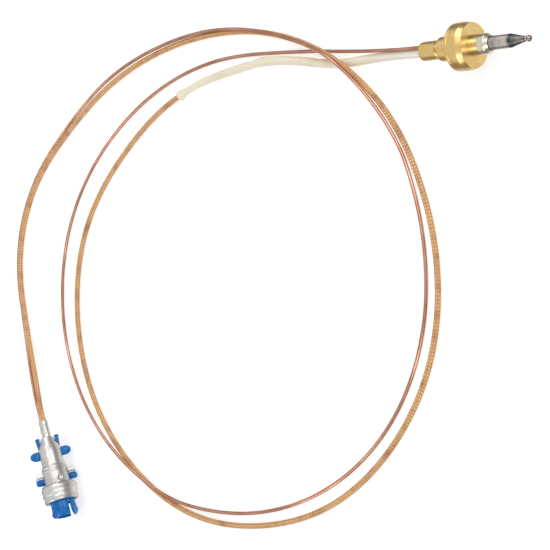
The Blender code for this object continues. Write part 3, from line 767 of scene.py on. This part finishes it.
def hollow_tube(name, line, outer, inner, places):
    """A tube with an outer wall and a bore, joined round its two ends."""
    mesh = tube_mesh(name, line, outer, places)
    bore = tube_mesh(name + "_bore", line, inner, places)
    bm = bmesh.new()
    bm.from_mesh(mesh)
    bm.from_mesh(bore)
    caps = [face for face in bm.faces if len(face.verts) > 4]
    bmesh.ops.delete(bm, geom=caps, context="FACES_ONLY")
    start, end = Vector(line[0] * MM), Vector(line[-1] * MM)
    rims = [[], []]
    for edge in bm.edges:
        if edge.is_boundary:
            where = (edge.verts[0].co + edge.verts[1].co) / 2
            rims[(where - start).length > (where - end).length].append(edge)
    for rim in rims:
        bmesh.ops.bridge_loops(bm, edges=rim)
    bmesh.ops.recalc_face_normals(bm, faces=bm.faces)
    bm.to_mesh(mesh)
    bm.free()
    mesh.shade_smooth()
    mesh.set_sharp_from_angle(angle=math.radians(60))
    bpy.data.meshes.remove(bore)
    return mesh


# ---- Head ----


def reach(node):
    """A CAD node's rear and front ends along +X, and half its height."""
    low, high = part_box(node)
    return low.x / MM, high.x / MM, (high.z - low.z) / 2 / MM


def head_place():
    """The head's own space, with its axis through the middle of the flange."""
    low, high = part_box("mounting_flange")
    return Matrix.Translation((0.0, 0.0, (low.z + high.z) / 2))


def add_brass(place, brass):
    """The flange, with a rolled groove near its rear edge, and the neck behind it."""
    rear, front, radius = reach("mounting_flange")
    flange_rear = rear - 0.1
    flange = [
        (rear, 3.22, 0.1), (rear, radius - 0.3, 0.15), (rear + 0.25, radius - 0.05, 0.1),
        (rear + 0.7, radius - 0.05, 0.06), (rear + 0.85, radius - 0.14, 0.08),
        (rear + 1.0, radius, 0.1), (front - 1.55, radius, 0.12), (front, radius - 0.35, 0.1),
        (front, 2.62), (front - 0.5, 2.62), (front - 0.5, 1.85), (rear + 3.1, 1.85),
        (rear + 3.1, 2.92), (rear + 0.35, 2.92),
    ]
    mesh = turned_mesh("brass_flange", flange, sides=128)
    add_piece("brass_flange", mesh, place, brass, "root", "mounting_flange")
    rear, front, _ = reach("neck_bush")
    neck = [
        (rear, 2.05, 0.08), (rear, 2.36, 0.12), (rear + 0.55, 2.43, 0.1), (rear + 4.85, 2.42, 0.08),
        (rear + 6.1, 3.1, 0.12), (flange_rear, 3.1, 0.08), (flange_rear, 2.8), (front, 2.8, 0.05),
        (front, 2.05, 0.05),
    ]
    add_piece("brass_neck", turned_mesh("brass_neck", neck), place, brass, "root", "neck_bush")


def add_tip_ferrule(place, nickel):
    rear, front, _ = reach("tip_ferrule")
    ferrule = [
        (rear, 1.85), (rear, 2.58, 0.08), (front - 0.85, 2.6, 0.2), (front, 1.92, 0.1),
        (front, 1.83, 0.04),
    ]
    mesh = turned_mesh("nickel_ferrule", ferrule)
    add_piece("nickel_ferrule", mesh, place, nickel, "root", "tip_ferrule")


def add_probe(place, steel, bead_metal):
    """The thin-walled sheath with its cone, and the bead on its short neck."""
    rear, front, _ = reach("probe_sheath")
    shoulder = front - 3.9
    sheath = [
        (rear, 1.35), (rear, 1.72, 0.05), (shoulder, 1.72, 0.35), (front - 0.5, 0.82, 0.3),
        (front, 0.76, 0.05), (front, 0.44), (front - 0.6, 0.44), (shoulder, 1.35),
    ]
    mesh = turned_mesh("steel_sheath", sheath, sides=72)
    add_piece("steel_sheath", mesh, place, steel, "root", "probe_sheath")
    rear, front, radius = reach("hot_junction_bead")
    round_end = arc((front - radius, 0.0), radius, 140.0, 0.0, 16)
    round_end[-1] = (front, 0.0)
    bead = [(rear, 0.0), (rear, 0.6, 0.05)] + round_end
    mesh = turned_mesh("welded_bead", bead, sides=48)
    add_piece("welded_bead", mesh, place, bead_metal, "root", "hot_junction_bead")


# ---- Plug ----


def plug_place():
    """The plug's own space: +X forwards along it, +Z up through its middle, from the record."""
    record = frame["record"]
    face = next(m for m in record["mounts"] if m["name"] == "plug_front_face")
    latch = next(j for j in record["behaviour"]["joints"] if j["name"] == "right_latch_squeeze")
    forwards = Vector(face["axis"]).normalized()
    upwards = Vector(latch["axis"]).normalized()
    across = upwards.cross(forwards)
    origin = Vector(face["pos_m"]) - upwards * FACE_MOUNT_RISE * MM - forwards * COLLAR_FRONT * MM
    return Matrix.Translation(origin) @ Matrix((forwards, across, upwards)).transposed().to_4x4()


def add_shell(place, metal):
    """The turned casing, slotted for the latch arms, with a hood over each arm's nub."""
    profile = [
        (5.6, 1.88, 0.05), (5.6, 2.14, 0.1), (7.1, 2.66, 0.5), (8.7, 3.45, 0.7), (9.8, 3.7, 0.5),
        (14.6, 3.82, 0.2), (15.1, 3.92, 0.2), (15.4, 4.2, 0.25), (15.75, 4.22, 0.25), (16.1, 4.0, 0.25),
        (16.4, 4.28, 0.25), (16.75, 4.4, 0.25), (17.1, 4.25, 0.25), (26.3, 4.25, 0.08), (26.3, 3.87),
        (15.2, 3.87), (14.8, 3.76), (13.9, 3.5), (9.3, 3.3), (7.3, 2.4), (6.2, 1.88),
    ]
    mesh = turned_mesh("plug_casing", profile)
    shell = add_piece("plug_casing", mesh, place, metal, "root", "plug_shell")
    hood = filleted([
        (16.3, 4.0), (16.42, 5.6, 0.8), (17.0, 6.45, 0.5), (18.15, 6.5, 0.12), (18.15, 6.12, 0.05),
        (17.8, 6.0, 0.1), (17.8, 4.0),
    ])
    hole = turned_mesh("hole", [(3.0, 0.0), (3.0, 0.72), (6.0, 0.72), (6.0, 0.0)], sides=32)
    wing_slots = box_mesh((4.0, -8.0, -1.08), (14.2, 8.0, 1.08))
    nub_windows = box_mesh((17.0, -8.0, -1.3), (20.7, 8.0, 1.3))
    hoods = [turned_by(rounded_hood(hood), turn) for turn in (0.0, 180.0)]
    carve(shell, [wing_slots, nub_windows, at_eyelet(hole)], hoods)


def rounded_hood(outline):
    """A hood of one outline all through, with its sides drawn in towards the top."""
    draw_start, draw_height, draw = 4.6, 2.0, 0.28
    mesh = stacked_mesh("hood", [(-HOOD_WIDTH / 2, outline), (HOOD_WIDTH / 2, outline)])
    for vertex in mesh.vertices:
        rise = max(0.0, vertex.co.y / MM - draw_start) / draw_height
        vertex.co.z *= 1.0 - draw * min(rise, 1.0) ** 2
    return mesh


def at_eyelet(mesh):
    """Turns a piece that is drawn about +X so that it stands out from the shell, at the eyelet."""
    upright = Matrix.Rotation(-math.pi / 2, 4, "Y")
    mesh.transform(Matrix.Translation((EYELET_PLACE * MM, 0, 0)) @ upright)
    return turned_by(mesh, EYELET_TURN)


def add_plug_collar(place, metal):
    rear, front = COLLAR_REAR, COLLAR_FRONT
    profile = [
        (rear, 4.37), (rear, 5.2, 0.35), (rear + 0.7, 5.86, 0.5), (rear + 1.6, 5.86, 0.45),
        (rear + 1.95, 5.74, 0.3), (rear + 3.3, 5.74, 0.4), (rear + 3.75, 5.5, 0.3), (rear + 4.1, 5.58, 0.3),
        (front - 0.7, 5.5, 0.4), (front, 5.25, 0.25), (front, 4.37, 0.08),
    ]
    mesh = turned_mesh("collar_ring", profile)
    add_piece("collar_ring", mesh, place, metal, "root", "plug_collar")


def add_insulator(place, plastic):
    """The blue body, grooved for the latch arms, with a saw cut that leaves a prong on one side."""
    profile = [
        (15.3, 1.45), (15.3, 3.7, 0.1), (26.5, 3.74), (26.5, 3.92), (29.2, 4.0, 0.5),
        (30.0, 4.22, 0.4), (30.7, 4.1, 0.3), (31.25, 3.7, 0.25), (31.4, 3.1, 0.15), (31.4, 2.7, 0.2),
        (25.0, 2.7), (25.0, 1.45),
    ]
    mesh = turned_mesh("blue_insulator", profile)
    body = add_piece("blue_insulator", mesh, place, plastic, "root", "insulator_body")
    grooves = [turned_by(box_mesh((14.0, 2.1, -1.1), (22.6, 5.0, 1.1)), turn) for turn in (0.0, 180.0)]
    saw_cut = box_mesh((SPLIT_REAR, SPLIT_LOW, -6.0), (33.0, SPLIT_HIGH, 6.0))
    carve(body, [*grooves, saw_cut])
    shape_prong(body.data)


def shape_prong(mesh):
    """Bends the prong beside the saw cut outwards, and narrows it towards its tip."""
    lowest, length, bend, narrowing, narrowing_length = 2.1, 4.0, 0.4, 0.42, 2.2
    for vertex in mesh.vertices:
        x, y = vertex.co.x / MM, vertex.co.y / MM
        if x > PRONG_REAR and y > lowest:
            along = (x - PRONG_REAR) / length
            near_tip = max(0.0, (x - PRONG_NARROWING_START) / narrowing_length)
            narrower = 1.0 - narrowing * near_tip**2
            vertex.co.y = (PRONG_MIDDLE + (y - PRONG_MIDDLE) * narrower + bend * along**2) * MM


def add_arms(place, plastic):
    """Each arm is a spring strip with a rounded wing to squeeze and a nub under the shell's hood."""
    strip = [
        (5.3, 2.35, 0.25), (5.3, 3.8, 0.35), (9.0, 3.5, 0.6), (22.3, 3.45, 0.15), (22.3, 2.8, 0.15),
        (12.0, 2.8, 0.6),
    ]
    wing = [
        (9.35, 3.1), (9.35, 5.4, 0.7), (10.1, 6.55, 0.8), (11.5, 6.5, 0.6), (12.3, 5.2, 0.5), (12.3, 3.1),
    ]
    nub = [(18.25, 3.1), (18.25, 6.0, 0.3), (18.9, 6.65, 0.4), (20.35, 6.5, 0.8), (20.4, 3.1)]
    for side, turn in (("left", 180.0), ("right", 0.0)):
        name, body = f"blue_latch_{side}", f"{side}_latch"
        mesh = turned_by(domed_mesh(name, strip, ARM_WIDTH, 0.12), turn)
        arm = add_piece(name, mesh, place, plastic, body, f"latch_arm_{side}")
        joins = [domed_mesh("wing", wing, ARM_WIDTH, 0.85), domed_mesh("nub", nub, NUB_WIDTH, 0.6)]
        carve(arm, [], [turned_by(join, turn) for join in joins])


def add_crimp_ferrule(place, metal):
    """A tube pressed oval round the two leads, with two dents from the crimping tool."""
    half_width, half_height, wall, length, steps, sides = 1.52, 1.12, 0.22, 7.0, 70, 48
    unroll = 52.0  # undoes the roll of the plug, so that the wide way of the oval lies level
    x = np.linspace(0.0, length, steps + 1)
    turn = math.tau * np.arange(sides) / sides
    lip = 0.07 * np.exp(-((x / 0.25) ** 2))
    press = 0.10 * (np.exp(-(((x - 2.0) / 0.5) ** 2)) + np.exp(-(((x - 4.4) / 0.5) ** 2)))
    bm = bmesh.new()
    loops = []
    for grow, order in ((wall, slice(None)), (0.0, slice(None, None, -1))):
        for place_x, out, dent in zip(x[order], lip[order], press[order]):
            more = out - dent if grow else 0.0
            wide, high = half_width + grow + more * 0.4, half_height + grow + more
            ring = [(place_x * MM, wide * math.cos(t) * MM, high * math.sin(t) * MM) for t in turn]
            loops.append([bm.verts.new(point) for point in ring])
    for first, second in zip(loops, loops[1:] + loops[:1]):
        for k in range(sides):
            n = (k + 1) % sides
            bm.faces.new((first[k], first[n], second[n], second[k]))
    mesh = turned_by(finished_mesh("crimped_ferrule", bm, 40.0), unroll)
    return add_piece("crimped_ferrule", mesh, place, metal, "root", "lead_crimp_ferrule")


def add_eyelet(place, metal):
    """A dished rivet in the shell's hole."""
    outline = [
        (3.9, 0.0), (3.9, 0.68), (4.34, 0.68), (4.34, 1.08, 0.08), (4.46, 1.08, 0.1), (4.56, 0.9, 0.12),
        (4.5, 0.66, 0.1), (4.15, 0.56, 0.06), (4.1, 0.0),
    ]
    mesh = at_eyelet(turned_mesh("eyelet_ring", outline, sides=48))
    add_piece("eyelet_ring", mesh, place, metal, "root", "shell_eyelet")


def dress_inner_pieces():
    """The pieces inside keep their CAD shapes and get their own finish."""
    ceramic = plain_inner("sintered_ceramic", (0.82, 0.80, 0.74), 0.7, 0.0)
    copper = plain_inner("crimp_copper", (0.70, 0.36, 0.24), 0.35, 1.0)
    constantan = plain_inner("core_metal", (0.50, 0.42, 0.36), 0.35, 1.0)
    contact = plain_inner("contact_metal", (0.74, 0.70, 0.60), 0.25, 1.0)
    finishes = {
        "ceramic_insulator": ceramic,
        "joint_insulator": ceramic,
        "rear_insulating_bush": ceramic,
        "cold_junction_crimp": copper,
        "lead_terminal": copper,
        "core_wire": constantan,
        "centre_contact": contact,
    }
    for node, material in finishes.items():
        obj = frame["nodes"][node]
        obj.data.materials.clear()
        obj.data.materials.append(material)


# ---- The whole ----


def main():
    add_camera()
    add_surroundings()
    copper, copper_line = add_copper_lead(drawn_copper())
    braided, braid_path = add_braided_lead(varnished_braid())
    sleeve = add_sleeve(coated_sleeving())
    place = head_place()
    add_brass(place, turned_brass())
    add_tip_ferrule(place, plated_nickel())
    add_probe(place, heat_tinted_steel(), bead_steel())
    place = plug_place()
    metal, plastic = tinned_metal(), moulded_blue()
    ferrule = add_crimp_ferrule(place, tinned_metal("ferrule_metal", 1.5))
    add_shell(place, metal)
    add_plug_collar(place, metal)
    add_insulator(place, plastic)
    add_arms(place, plastic)
    add_eyelet(place, metal)
    dress_inner_pieces()


main()
